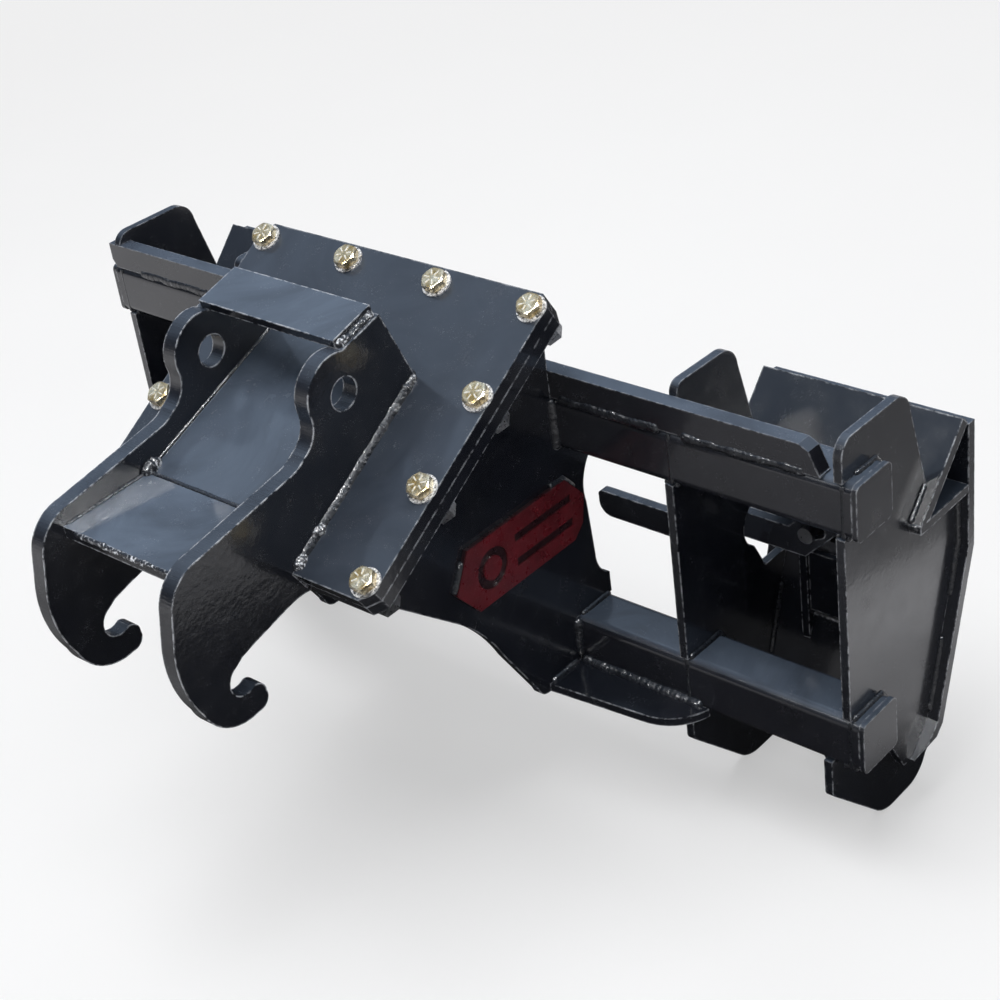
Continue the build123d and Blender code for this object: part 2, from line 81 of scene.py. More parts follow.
class G:
    """Small helper to wire nodes."""

    def __init__(self, nt):
        self.nt = nt
        self.co = nt.nodes.new("ShaderNodeTexCoord").outputs["Object"]

    def n(self, kind, **kw):
        node = self.nt.nodes.new(kind)
        for k, v in kw.items():
            setattr(node, k, v)
        return node

    def link(self, a, b):
        self.nt.links.new(a, b)

    def setv(self, sock, v):
        if hasattr(v, "is_linked") or hasattr(v, "links"):
            self.link(v, sock)
        else:
            sock.default_value = v

    def noise(self, scale, detail=3.0, rough=0.5, vec=None, dist=0.0):
        n = self.n("ShaderNodeTexNoise")
        n.inputs["Scale"].default_value = scale
        n.inputs["Detail"].default_value = detail
        n.inputs["Roughness"].default_value = rough
        n.inputs["Distortion"].default_value = dist
        self.link(vec if vec is not None else self.co, n.inputs["Vector"])
        return n.outputs["Fac"]

    def voro(self, scale, vec=None):
        n = self.n("ShaderNodeTexVoronoi")
        n.inputs["Scale"].default_value = scale
        self.link(vec if vec is not None else self.co, n.inputs["Vector"])
        return n.outputs["Distance"]

    def stretch(self, sc):
        m = self.n("ShaderNodeMapping")
        m.inputs["Scale"].default_value = sc
        self.link(self.co, m.inputs["Vector"])
        return m.outputs[0]

    def ramp(self, fac, a, b, ca=0.0, cb=1.0):
        m = self.n("ShaderNodeMapRange")
        m.inputs["From Min"].default_value = a
        m.inputs["From Max"].default_value = b
        m.inputs["To Min"].default_value = ca
        m.inputs["To Max"].default_value = cb
        self.link(fac, m.inputs["Value"])
        return m.outputs[0]

    def math(self, op, a, b=0.0):
        m = self.n("ShaderNodeMath", operation=op)
        self.setv(m.inputs[0], a)
        self.setv(m.inputs[1], b)
        return m.outputs[0]

    def mix(self, fac, a, b):
        m = self.n("ShaderNodeMix", data_type="RGBA")
        self.setv(m.inputs[0], fac)
        self.setv(m.inputs[6], a)
        self.setv(m.inputs[7], b)
        return m.outputs[2]

    def bump(self, height, strength, dist, normal=None):
        b = self.n("ShaderNodeBump")
        b.inputs["Strength"].default_value = strength
        b.inputs["Distance"].default_value = dist
        self.link(height, b.inputs["Height"])
        if normal is not None:
            self.link(normal, b.inputs["Normal"])
        return b.outputs[0]

    def normal_axis(self):
        g = self.n("ShaderNodeNewGeometry")
        s = self.n("ShaderNodeSeparateXYZ")
        self.link(g.outputs["True Normal"], s.inputs[0])
        return s.outputs

    def edge(self, radius, lo=0.02, hi=0.25):
        """1 near sharp edges, 0 on flats."""
        bv = self.n("ShaderNodeBevel", samples=4)
        bv.inputs["Radius"].default_value = radius
        geo = self.n("ShaderNodeNewGeometry")
        d = self.n("ShaderNodeVectorMath", operation="DOT_PRODUCT")
        self.link(bv.outputs[0], d.inputs[0])
        self.link(geo.outputs["Normal"], d.inputs[1])
        inv = self.math("SUBTRACT", 1.0, d.outputs["Value"])
        return self.ramp(inv, lo, hi)


def paint(name, base=(0.0064, 0.0072, 0.0102), cut_axis=None, dusty=0.5, rough=0.2, peel=1.0, wear_glints=0.5, weldy=False, sky_sheen_k=0.50):
    """Glossy near-black shop paint: orange peel, faint dust, worn edges with a painted edge highlight, a painted sky
    sheen on up-facing faces, plasma-cut edge striations.
    """
    m, nt, b = new_mat(name)
    g = G(nt)
    big = g.noise(5.0, 3, 0.55)
    mid = g.noise(38.0, 4, 0.6)
    fine = g.noise(420.0, 2, 0.5)
    peeln = g.noise(230.0, 1.5, 0.45)
    peel2 = g.noise(70.0, 2.0, 0.5)
    col = g.mix(g.ramp(big, 0.35, 0.7), (*base, 1), (base[0] * 1.5, base[1] * 1.5, base[2] * 1.55, 1))
    # dust specks and streaks
    speck = g.ramp(g.noise(900.0, 1.0, 0.4), 0.66, 0.74)
    patch = g.ramp(mid, 0.5, 0.72)
    dust = g.math("MULTIPLY", g.math("MULTIPLY", speck, patch), 0.35 * dusty)
    col = g.mix(dust, col, (0.33, 0.34, 0.36, 1))
    haze = g.math("MULTIPLY", g.ramp(g.noise(14.0, 5, 0.65, dist=0.6), 0.5, 0.8), 0.03 * dusty)
    col = g.mix(haze, col, (0.30, 0.32, 0.35, 1))
    # painted sky sheen: faces that point up get a lighter, bluer colour standing in for the reflected sky; each
    # material sets its own strength
    nz = g.normal_axis()[2]
    sky_sheen = g.math("MULTIPLY", g.math("POWER", g.ramp(nz, 0.55, 1.0), 1.35), g.ramp(g.noise(7.0, 5, 0.62, dist=1.1), 0.32, 0.72, 0.5, 1.08))
    col = g.mix(g.math("MULTIPLY", sky_sheen, sky_sheen_k), col, (0.125, 0.160, 0.215, 1))
    # worn edges, partly real chipped and rubbed paint, partly a painted edge highlight: a pale colour along sharp
    # edges, broken up by noise
    e = g.edge(0.0030, 0.015, 0.16)
    wear_glint = g.math("MULTIPLY", e, g.ramp(g.noise(95.0, 5, 0.68), 0.42, 0.60))
    col = g.mix(g.math("MINIMUM", g.math("MULTIPLY", wear_glint, 0.85 * wear_glints), 1.0), col, (0.66, 0.68, 0.72, 1))
    g.link(col, b.inputs["Base Color"])
    r = g.ramp(mid, 0.3, 0.75, rough - 0.05, rough + 0.1)
    r = g.math("ADD", r, g.math("MULTIPLY", dust, 0.8))
    r = g.math("ADD", r, g.math("MULTIPLY", wear_glint, 0.2))
    g.link(r, b.inputs["Roughness"])
    b.inputs["Specular IOR Level"].default_value = 0.55
    b.inputs["Coat Weight"].default_value = 0.55
    b.inputs["Coat Roughness"].default_value = 0.08
    h = g.math("ADD", g.math("MULTIPLY", peeln, 0.5), g.math("MULTIPLY", peel2, 1.0))
    nrm = g.bump(h, 0.07 * peel, 0.0014)
    nrm = g.bump(fine, 0.05, 0.0003, nrm)
    if cut_axis is not None:
        sc = [1.0, 1.0, 1.0]
        sc[cut_axis] = 0.03
        st = g.noise(700.0, 3, 0.6, vec=g.stretch(sc))
        ax = g.normal_axis()[cut_axis]
        side = g.ramp(g.math("ABSOLUTE", ax), 0.5, 0.3)
        nrm = g.bump(g.math("MULTIPLY", st, side), 0.55, 0.0007, nrm)
    if weldy:
        lump = g.noise(150.0, 4, 0.6)
        nrm = g.bump(lump, 0.5, 0.0016, nrm)
    g.link(nrm, b.inputs["Normal"])
    g.link(nrm, b.inputs["Coat Normal"])
    return m


def bead_mat(name, glint=0.5):
    """Painted-over weld bead: lumpy, with pale painted highlights (glints) in noise-broken spots and a painted sky
    sheen on up-facing parts.
    """
    m, nt, b = new_mat(name)
    g = G(nt)
    base = (0.0075, 0.0085, 0.0115, 1)
    # painted highlights: pale spots where two noises peak, scaled by glint
    s1 = g.ramp(g.noise(330.0, 3, 0.5), 0.58 - 0.06 * glint, 0.68 - 0.06 * glint)
    s2 = g.ramp(g.noise(45.0, 3, 0.5), 0.50 - 0.12 * glint, 0.66 - 0.12 * glint)
    sp = g.math("MINIMUM", g.math("MULTIPLY", g.math("MULTIPLY", s1, s2), glint), 1.0)
    col = g.mix(sp, base, (0.74, 0.76, 0.80, 1))
    # painted sky sheen: up-facing parts of the bead get a lighter, bluer colour
    nz = g.normal_axis()[2]
    col = g.mix(g.math("MULTIPLY", g.ramp(nz, 0.4, 1.0), 0.12), col, (0.125, 0.160, 0.215, 1))
    g.link(col, b.inputs["Base Color"])
    g.link(g.ramp(g.noise(240.0, 3, 0.6), 0.3, 0.7, 0.2, 0.42), b.inputs["Roughness"])
    b.inputs["Coat Weight"].default_value = 0.5
    b.inputs["Coat Roughness"].default_value = 0.1
    nrm = g.bump(g.noise(380.0, 3, 0.6), 0.5, 0.0012)
    g.link(nrm, b.inputs["Normal"])
    return m


def metal(name, c1, c2, rough=0.3, scale=140.0, edge_tint=None, grime=0.3, metallic=1.0):
    m, nt, b = new_mat(name)
    g = G(nt)
    col = g.mix(g.ramp(g.noise(scale, 4, 0.6, dist=0.4), 0.35, 0.68), (*c1, 1), (*c2, 1))
    gr = g.math("MULTIPLY", g.ramp(g.noise(420.0, 4, 0.65), 0.5, 0.68), grime)
    col = g.mix(gr, col, (0.03, 0.026, 0.02, 1))
    if edge_tint is not None:
        e = g.edge(0.0011, 0.02, 0.2)
        en = g.math("MULTIPLY", e, g.ramp(g.noise(520.0, 3, 0.6), 0.3, 0.55))
        col = g.mix(en, col, (*edge_tint, 1))
    g.link(col, b.inputs["Base Color"])
    b.inputs["Metallic"].default_value = metallic
    g.link(g.ramp(g.noise(300.0, 4, 0.6), 0.3, 0.7, rough - 0.08, rough + 0.14), b.inputs["Roughness"])
    nrm = g.bump(g.noise(700.0, 3, 0.6), 0.25, 0.0004)
    g.link(nrm, b.inputs["Normal"])
    return m


M_X = paint("paint_plate_x", cut_axis=0, wear_glints=0.7)
M_EAR = paint("paint_ear", cut_axis=0, dusty=0.8, peel=2.4, wear_glints=1.5, sky_sheen_k=0.42)
M_Y = paint("paint_plate_y", cut_axis=1)
M_FLAT = paint("paint_flat", peel=1.0, dusty=0.7, wear_glints=0.8)
M_SHELF = paint("paint_bracket", peel=1.2, dusty=0.9, wear_glints=1.6, sky_sheen_k=0.90)
# wing plates: a shaded copy of the paint with almost no sky sheen, painted shade for the shadow they sit in
M_WING_SHADED = paint("paint_wing", peel=1.0, dusty=0.6, wear_glints=1.0, sky_sheen_k=0.03)
M_WEDGE = paint("paint_wedge", peel=1.0, dusty=0.7, wear_glints=1.0, sky_sheen_k=0.12)
M_TUBE = paint("paint_tube", base=(0.0085, 0.0088, 0.0115), peel=0.7, dusty=0.5, sky_sheen_k=0.74)
M_LEVER = paint("paint_lever", base=(0.013, 0.0135, 0.017), cut_axis=1, peel=1.2, wear_glints=0.9)
M_BEAD = bead_mat("paint_weld_bead", 0.16)
# bead stretches with dense pale painted highlights (glints)
M_BEAD_GLINT = bead_mat("paint_weld_bead_bare", 0.95)
M_GOLD = metal("bolt_yellow_zinc", (0.46, 0.32, 0.12), (0.95, 0.87, 0.66), 0.22, 75.0, edge_tint=(1.0, 0.98, 0.92), grime=0.30, metallic=0.8)
M_MARK = metal("bolt_mark_bright", (0.90, 0.86, 0.74), (1.0, 0.98, 0.92), 0.22, 120.0, grime=0.0, metallic=0.4)
M_ZINC = metal("nut_zinc", (0.36, 0.37, 0.39), (0.60, 0.61, 0.63), 0.3, 150.0, edge_tint=(0.85, 0.86, 0.88), grime=0.35)
M_WASH = None
M_STEEL = metal("pin_bare_steel", (0.34, 0.34, 0.35), (0.43, 0.43, 0.44), 0.32, 40.0, edge_tint=(0.62, 0.62, 0.64), grime=0.15)


def washer_mat():
    """Washers painted with the flange and scraped bright by the wrench."""
    m, nt, b = new_mat("washer_scuffed")
    g = G(nt)
    bare = g.ramp(g.noise(80.0, 4, 0.6, dist=0.9), 0.36, 0.43)
    flake = g.ramp(g.noise(420.0, 3, 0.6), 0.35, 0.6)
    col = g.mix(g.math("MULTIPLY", bare, flake), (0.022, 0.024, 0.030, 1), (0.96, 0.96, 0.97, 1))
    g.link(col, b.inputs["Base Color"])
    g.link(g.math("MULTIPLY", bare, 0.15), b.inputs["Metallic"])
    b.inputs["Roughness"].default_value = 0.33
    b.inputs["Coat Weight"].default_value = 0.3
    g.link(g.bump(g.noise(260.0, 4, 0.6), 0.8, 0.0012), b.inputs["Normal"])
    return m


M_WASH = washer_mat()


def badge_mat():
    m, nt, b = new_mat("badge_red_paint")
    g = G(nt)
    geo = g.n("ShaderNodeNewGeometry")
    sep = g.n("ShaderNodeSeparateXYZ")
    g.link(g.co, sep.inputs[0])
    depth = g.ramp(sep.outputs[0], 0.1792, 0.1812)
    red = g.mix(g.ramp(g.noise(26.0, 4, 0.6), 0.35, 0.7), (0.066, 0.0045, 0.0078, 1), (0.115, 0.009, 0.014, 1))
    col = g.mix(depth, (0.020, 0.006, 0.008, 1), red)
    speck = g.math("MULTIPLY", g.ramp(g.noise(800.0, 2, 0.5), 0.64, 0.72), 0.3)
    col = g.mix(speck, col, (0.40, 0.24, 0.24, 1))
    g.link(col, b.inputs["Base Color"])
    g.link(g.ramp(g.noise(60.0, 4, 0.6), 0.3, 0.7, 0.22, 0.4), b.inputs["Roughness"])
    b.inputs["Coat Weight"].default_value = 0.4
    b.inputs["Coat Roughness"].default_value = 0.12
    nrm = g.bump(g.noise(240.0, 2, 0.5), 0.18, 0.0012)
    g.link(nrm, b.inputs["Normal"])
    return m


M_BADGE = badge_mat()


def node_mat(n):
    if n == "badge_plate":
        return M_BADGE
    if n == "flange_bolts":
        return M_GOLD
    if n == "flange_nuts" or n.startswith(("pivot_bolt", "pivot_nut")):
        return M_ZINC
    if n == "flange_washers" or n.startswith("pivot_washers"):
        return M_WASH
    if n.startswith(("latch_pin", "cross_pin")):
        return M_STEEL
    if n.startswith("ear_plate"):
        return M_EAR
    if n.startswith(("gusset", "inner_side", "outer_side", "foot_plate", "guide_rib")):
        return M_X
    if n in ("bracket_top_plate", "bracket_front_shelf", "bracket_floor_plate"):
        return M_SHELF
    if n.startswith("wing_plate"):
        return M_WING_SHADED
    if n.startswith("wedge_plate"):
        return M_WEDGE
    if n.startswith(("latch_lever", "pivot_bracket")):
        return M_LEVER
    if n in ("top_tube", "bottom_tube", "tube_end_caps", "top_lip_bar"):
        return M_TUBE
    return M_FLAT


def bevel(o, w, seg=2, angle=28):
    md = o.modifiers.new("edge", "BEVEL")
    md.width = w
    md.segments = seg
    md.limit_method = "ANGLE"
    md.angle_limit = math.radians(angle)
    md.harden_normals = False
    md.use_clamp_overlap = True
    return md


BEV = {"top_lip_bar": 1.2, "flange_bolts": 0.5, "flange_nuts": 0.5, "flange_washers": 0.4, "badge_plate": 0.5,
       "tube_end_caps": 1.2, "upper_flange_plate": 1.5, "lower_flange_plate": 1.5, "ear_plate_right": 1.6, "ear_plate_left": 1.6, "bracket_top_plate": 1.4, "bracket_front_shelf": 1.4, "top_tube": 0.4, "bottom_tube": 0.4}
for name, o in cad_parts.items():
    o.data.materials.clear()
    o.data.materials.append(node_mat(name))
    w = BEV.get(name, 0.9)
    bevel(o, w / 1000.0, 2)
    for p in o.data.polygons:
        p.use_smooth = True
    wn = o.modifiers.new("edge_normals", "WEIGHTED_NORMAL")
    wn.mode = "FACE_AREA"
    wn.weight = 60
    wn.keep_sharp = False

# ------------------------------------------------------------------ weld beads
random.seed(7)


def resample(pts, step):
    out, dirs = [], []
    for a, b in zip(pts[:-1], pts[1:]):
        d = b - a
        n = max(1, int(d.length / step))
        for i in range(n):
            out.append(a + d * (i / n))
            dirs.append(d.normalized())
    out.append(pts[-1])
    dirs.append((pts[-1] - pts[-2]).normalized())
    return out, dirs


BEADS = {}


def make_bead(side, pts, r, out, mat=None, rough=1.0, pitch=5.5, seg=12, flat=0.8, dimes=0.06):
    """A weld bead along pts (metres), radius r mm, showing its crown towards out."""
    r = r / 1000.0
    pitch = pitch / 1000.0
    path, dirs = resample(pts, 0.0016)
    # smooth directions round the corners
    sm = []
    for i in range(len(dirs)):
        a = Vector((0, 0, 0))
        for j in range(max(0, i - 3), min(len(dirs), i + 4)):
            a += dirs[j]
        sm.append(a.normalized())
    seed = random.uniform(0, 100)
    out = Vector(out).normalized()
    key = (side, (mat or M_BEAD).name)
    if key not in BEADS:
        BEADS[key] = bmesh.new()
    bm = BEADS[key]
    rings = []
    new_faces = []
    s = 0.0
    n = len(path)
    total = sum((path[i + 1] - path[i]).length for i in range(n - 1))
    for i, (p, d) in enumerate(zip(path, sm)):
        if i:
            s += (path[i] - path[i - 1]).length
        u = (out - d * out.dot(d))
        if u.length < 1e-6:
            u = d.orthogonal()
        u.normalize()
        v = d.cross(u)
        wob = noise.noise(Vector((s * 70, seed, 0.3)))
        wob2 = noise.noise(Vector((s * 260, seed, 5.3)))
        ph = (s / pitch + 0.35 * wob) % 1.0
        dime = 1.0 - dimes * abs(2 * ph - 1) ** 2.0
        endk = min(1.0, min(s, total - s) / (r * 1.1) + 0.02)
        endk = math.sqrt(max(0.0, 1 - (1 - endk) ** 2))
        rad = r * dime * (1 + rough * (0.13 * wob + 0.06 * wob2)) * (0.15 + 0.85 * endk)
        c = p + v * (r * 0.16 * rough * noise.noise(Vector((s * 45, seed, 9.1))))
        ring = []
        for k in range(seg):
            a = 2 * math.pi * k / seg
            ca, sa = math.cos(a), math.sin(a)
            bumpn = 1 + 0.10 * rough * noise.noise(Vector((s * 320, a * 1.3, seed)))
            skew = -d * (pitch * 0.22 * max(0.0, ca))
            ring.append(bm.verts.new(c + (u * ca * flat + v * sa) * rad * bumpn + skew * endk))
        rings.append(ring)
    for a, b in zip(rings[:-1], rings[1:]):
        for k in range(seg):
            f = bm.faces.new((a[k], a[(k + 1) % seg], b[(k + 1) % seg], b[k]))
            f.smooth = True
            new_faces.append(f)
    new_faces.append(bm.faces.new(list(reversed(rings[0]))))
    new_faces.append(bm.faces.new(rings[-1]))
    bmesh.ops.recalc_face_normals(bm, faces=new_faces)


def finish_beads():
    for (side, matname), bm in BEADS.items():
        # groups made with the densely glinting bead material carry painted highlights
        nm = "welds_%s_%s" % (side, "bare" if matname.endswith("bare") else "painted")
        me = bpy.data.meshes.new(nm)
        bm.to_mesh(me)
        bm.free()
        o = bpy.data.objects.new(nm, me)
        bpy.context.scene.collection.objects.link(o)
        me.materials.append(bpy.data.materials[matname])
        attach(o, ROOT)


def bead(pts, r, out, both=True, **kw):
    """pts in layout millimetres on the right side; mirrored to the left when both."""
    make_bead("right" if both else "middle", [W(*p) for p in pts], r, out, **kw)
    if both:
        make_bead("left", [W(-p[0], p[1], p[2]) for p in pts], r, (-out[0], out[1], out[2]), **kw)


def fbead(pts, r, out, both=True, **kw):
    """The same with points (x, s, h) in flange coordinates."""
    bead([(x, *fl(s, h)) for x, s, h in pts], r, out, both, **kw)


TT = [(0.0, -63.5), (-284.5, -348.0)]
for zt, zb in TT:
    for x, ox in ((535.3, 1), (524.7, -1), (330.3, 1), (319.7, -1)):
        r = 4.2 if abs(x) > 500 else 4.6
        bead([(x, 3, zb), (x, 57, zb), (x, 63.4, zb + 7), (x, 63.4, zt - 7), (x, 57, zt), (x, 4 if zt < -1 else 21, zt)], r, (ox, 0.5, 0.3))
    # plate edges on the front of the tube
for zt, zb in TT:
    for x in (533.5, 328.0):
        bead([(x, 1.2, zb + 2), (x, 1.2, zt - 2)], 3.0, (0, -1, 0), flat=0.5, pitch=6.5)
    for x, ox in ((176.3, 1), (165.7, -1)):
        bead([(x, -0.4, zb + (14 if zb < -300 else 1)), (x, -0.4, zt - 1)], 6.2, (ox, -1, 0), rough=1.5, pitch=6.5)
        bead([(x, 8, zb if zb > -300 else zt), (x, 60, zb if zb > -300 else zt)], 4.6, (ox, 0, -1 if zb > -300 else 1))
# gusset to lower flange
for x, ox in ((176.2, 1), (165.8, -1)):
    fbead([(x, 10, -32.3), (x, 342, -32.3)], 5.5, (ox, 0.2, -1))
# lip bar
for a, b in ((186, 318), (346, 492), (-492, -346), (-318, -220), (-160, 60)):
    bead([(a, 0.8, 0.5), (b, 0.8, 0.5)], 5.2, (0, -1, 0.1), both=False, rough=2.0, flat=0.55, pitch=6.0)
for a, b in ((345, 505), (-520, -345), (-300, -190), (190, 300), (-60, 90)):
    bead([(a, 19.2, 0.2), (b, 19.2, 0.2)], 5.0, (0, 1, 1), both=False, rough=1.4)
# wing plates
bead([(180, -1.0, -339.5), (346, -1.0, -339.5)], 6.5, (0, -1, 1), rough=1.7, pitch=7)
bead([(176.6, -8, -339.6), (176.6, -54, -339.6)], 5.0, (1, 0, 1))
bead([(182, -0.5, -349.0), (330, -0.5, -349.0)], 4.0, (0, -0.3, -1))
# ears to flange
for x, ox in ((107.3, 1), (87.7, -1)):
    fbead([(x - ox * 0.5, 128, 0.2), (x - ox * 0.5, 363, 0.2)], 9.0 if ox > 0 else 5.5, (ox, 0, 1), pitch=7.0, flat=0.50, rough=1.3, dimes=0.035)
    if ox > 0:
        for a, b2 in ((126, 150), (306, 330), (338, 362)):
            fbead([(x, a, 0.4), (x, b2, 0.4)], 8.0, (ox, 0, 1), pitch=5.0, rough=3.0, flat=0.75, mat=M_BEAD_GLINT)
for s0, h0 in ((124.5, 1.0), (365.9, 0.5)):
    fbead([(89, s0, h0), (106, s0, h0)], 5.0, (0, 0.6 if s0 < 200 else -0.6, 0.6))
# top plate to ears
fbead([(98.9, 113, 93.5), (98.9, 166, 109)], 6.0, (1, 0, 1), rough=2.8, pitch=6.0, dimes=0.1, mat=M_BEAD_GLINT)
fbead([(87.6, 113, 91.6), (87.6, 166, 107)], 4.2, (-1, 0, -0.6))
# floor and shelf between the ears
fbead([(87.9, 131, 22.6), (87.9, 335, 56.0)], 2.6, (-1, 0, 1), rough=0.7)
fbead([(87.9, 342, 59.2), (87.9, 434, 110.1)], 2.6, (-1, 0, 1), rough=0.7)
fbead([(87.6, 346, 45.6), (87.6, 440, 98.0)], 4.4, (-1, 0, -1))
fbead([(-84, 337.6, 56.8), (84, 337.6, 56.8)], 2.6, (0, -0.6, 1), both=False, rough=1.0)
for sx in (1, -1):
    fbead([(sx * 85.5, 320, 54.0), (sx * 86.5, 345, 61.0)], 8.0, (-sx, 0, 1), both=False, rough=3.0, mat=M_BEAD_GLINT)
fbead([(-70, 438.5, 110.3), (84, 438.5, 110.3)], 3.0, (0, -1, 0.2), both=False, rough=2.5, flat=0.7, mat=M_BEAD_GLINT)
# badge stitch welds
bead([(176.6, -183.2, -143), (176.6, -175, -129), (176.6, -166, -112)], 4.4, (1, -1, 0.4), both=False, rough=1.5)
bead([(176.6, -20, -100.5), (176.6, 3, -102.5), (176.6, 20, -121)], 4.6, (1, 0.4, 1), both=False, rough=1.5)
bead([(176.6, -60, -181.6), (176.6, -12, -181.6)], 3.6, (1, 0, -1), both=False)
# wedge, shelf and mount plates to the side plates
for x, ox in ((535.3, 1), (524.7, -1), (330.3, 1), (319.7, -1)):
    bead([(x, 150.5, -78.9), (x, 119.2, -110.2)], 3.8, (ox, -1, 1), pitch=5.5)
    bead([(x, 126, -120.3), (x, 206, -120.3)], 4.2, (ox, 0, -1))
    bead([(x, 213.6, -128), (x, 213.6, -188), (x, 196, -244)], 4.4, (ox, -1, 0))
    bead([(x, 181, -288), (x, 152, -372)], 4.2, (ox, -1, 0))
bead([(308, 212.6, -36.6), (546, 212.6, -36.6)], 4.6, (0, 0, 1), rough=1.4)
bead([(309, 119.2, -113.5), (545, 119.2, -113.5)], 4.0, (0, -1, 0))
bead([(340, 213.4, -109.6), (520, 213.4, -109.6)], 4.4, (0, -1, 1))
# foot plates
for x, ox in ((510.3, 1), (499.7, -1)):
    bead([(x, 6, -348.4), (x, 56, -348.4)], 5.0, (ox, 0, -1))
    bead([(x, 128, -407.0), (x, 152, -377)], 4.4, (ox, -0.6, 0.4))

finish_beads()

# bolt head marks: six raised radial strokes
BOLTS = [(x, s) for s in (20, 129, 238, 347) for x in (-195, -65, 65, 195) if s in (20, 347) or x in (-195, 195)]
HEAD_H = 2.0 + 0.04 + 10.3


def stroke_mesh():
    me = bpy.data.meshes.new("bolt_head_strokes")
    bm = bmesh.new()
    rnd = random.Random(11)
    for x, s in BOLTS:
        turn = rnd.uniform(0, math.pi / 3)
        c = F(x, s, HEAD_H - 0.05)
        ex = Vector((1, 0, 0))
        ey = Vector((0, -CT, -ST))
        ez = Vector((0, -ST, CT))
        for k in range(6):
            a = turn + k * math.pi / 3
            d = ex * math.cos(a) + ey * math.sin(a)
            q = ex * -math.sin(a) + ey * math.cos(a)
            p = []
            for (rr, ww, hh) in ((0.0040, 0.00055, 0.0), (0.0100, 0.00075, 0.0), (0.0100, 0.0004, 0.00055), (0.0040, 0.0003, 0.00055)):
                p.append((rr, ww, hh))
            v = [bm.verts.new(c + d * 0.0034 + q * w + ez * h) for w, h in ((-0.0008, 0), (0.0008, 0), (0.0005, 0.0007), (-0.0005, 0.0007))]
            u = [bm.verts.new(c + d * 0.0096 + q * w + ez * h) for w, h in ((-0.0009, 0), (0.0009, 0), (0.0006, 0.0007), (-0.0006, 0.0007))]
            for j in range(4):
                bm.faces.new((v[j], v[(j + 1) % 4], u[(j + 1) % 4], u[j]))
            bm.faces.new(v[::-1])
            bm.faces.new(u)
    bmesh.ops.recalc_face_normals(bm, faces=bm.faces)
    bm.to_mesh(me)
    bm.free()
    o = bpy.data.objects.new("bolt_head_strokes", me)
    bpy.context.scene.collection.objects.link(o)
    me.materials.append(M_MARK)
    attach(o, ROOT)


stroke_mesh()

# ------------------------------------------------------------------ the stage
zf = LO0[2] - 0.0005
bm = bmesh.new()
bmesh.ops.create_grid(bm, x_segments=8, y_segments=8, size=30.0)
me = bpy.data.meshes.new("floor")
bm.to_mesh(me)
bm.free()
floor = bpy.data.objects.new("floor", me)
floor.location = (0, 0, zf)
bpy.context.scene.collection.objects.link(floor)
fm, nt, b = new_mat("floor_pale")
g = G(nt)
g.link(g.mix(g.ramp(g.noise(2.0, 3, 0.5), 0.3, 0.7), (0.88, 0.88, 0.88, 1), (0.90, 0.90, 0.90, 1)), b.inputs["Base Color"])
b.inputs["Roughness"].default_value = 0.9
b.inputs["Specular IOR Level"].default_value = 0.0
# painted reflection: glossy rays see an emitted pattern on the floor standing in for a workshop floor, dark under the
# part, with a lit lane to its right
lpf = g.n("ShaderNodeLightPath")
geo_f = g.n("ShaderNodeNewGeometry")
sp_f = g.n("ShaderNodeSeparateXYZ")
g.link(geo_f.outputs["Position"], sp_f.inputs[0])
X_, Y_ = sp_f.outputs[0], sp_f.outputs[1]
rad = g.math("SQRT", g.math("ADD", g.math("MULTIPLY", X_, X_), g.math("MULTIPLY", Y_, Y_)))
U_ = g.math("ADD", g.math("MULTIPLY", X_, 0.961), g.math("MULTIPLY", Y_, 0.275))
step1 = g.math("MULTIPLY", g.ramp(U_, 0.685, 0.75), 0.60)
step2 = g.math("MULTIPLY", g.ramp(U_, 0.80, 0.88), 0.36)
cut = g.math("MULTIPLY", g.ramp(U_, 0.976, 0.986), -0.72)
front_l = g.math("MULTIPLY", g.ramp(X_, -0.55, -1.15), 0.85)
front_m = g.math("MULTIPLY", g.ramp(Y_, -0.12, -0.4), 0.34)
lum = g.math("ADD", g.math("ADD", g.math("ADD", step1, step2), cut), g.math("ADD", g.math("MAXIMUM", front_l, front_m), 0.02))
far = g.math("MULTIPLY", g.ramp(rad, 2.1, 3.6), 0.85)
lum = g.math("MAXIMUM", lum, far)
lum = g.math("MULTIPLY", lum, g.ramp(g.noise(6.0, 4, 0.6), 0.3, 0.7, 0.75, 1.1))
em = g.n("ShaderNodeEmission")
comb = g.n("ShaderNodeCombineColor")
g.link(lum, comb.inputs[0])
g.link(lum, comb.inputs[1])
g.link(g.math("MULTIPLY", lum, 1.03), comb.inputs[2])
g.link(comb.outputs[0], em.inputs[0])
mxf = g.n("ShaderNodeMixShader")
g.link(lpf.outputs["Is Glossy Ray"], mxf.inputs[0])
g.link(b.outputs[0], mxf.inputs[1])
g.link(em.outputs[0], mxf.inputs[2])
for l in list(nt.links):
    if l.to_node.type == "OUTPUT_MATERIAL":
        tgt = l.to_socket
        nt.links.remove(l)
em_c = g.n("ShaderNodeEmission")
em_c.inputs[0].default_value = (0.95, 0.95, 0.95, 1)
em_c.inputs[1].default_value = 1.0
mxc = g.n("ShaderNodeMixShader")
pale = g.math("ADD", 0.45, g.math("MULTIPLY", g.ramp(rad, 1.3, 6.0), 0.55))
g.link(g.math("MULTIPLY", lpf.outputs["Is Camera Ray"], pale), mxc.inputs[0])
g.link(mxf.outputs[0], mxc.inputs[1])
g.link(em_c.outputs[0], mxc.inputs[2])
g.link(mxc.outputs[0], tgt)
me.materials.append(fm)

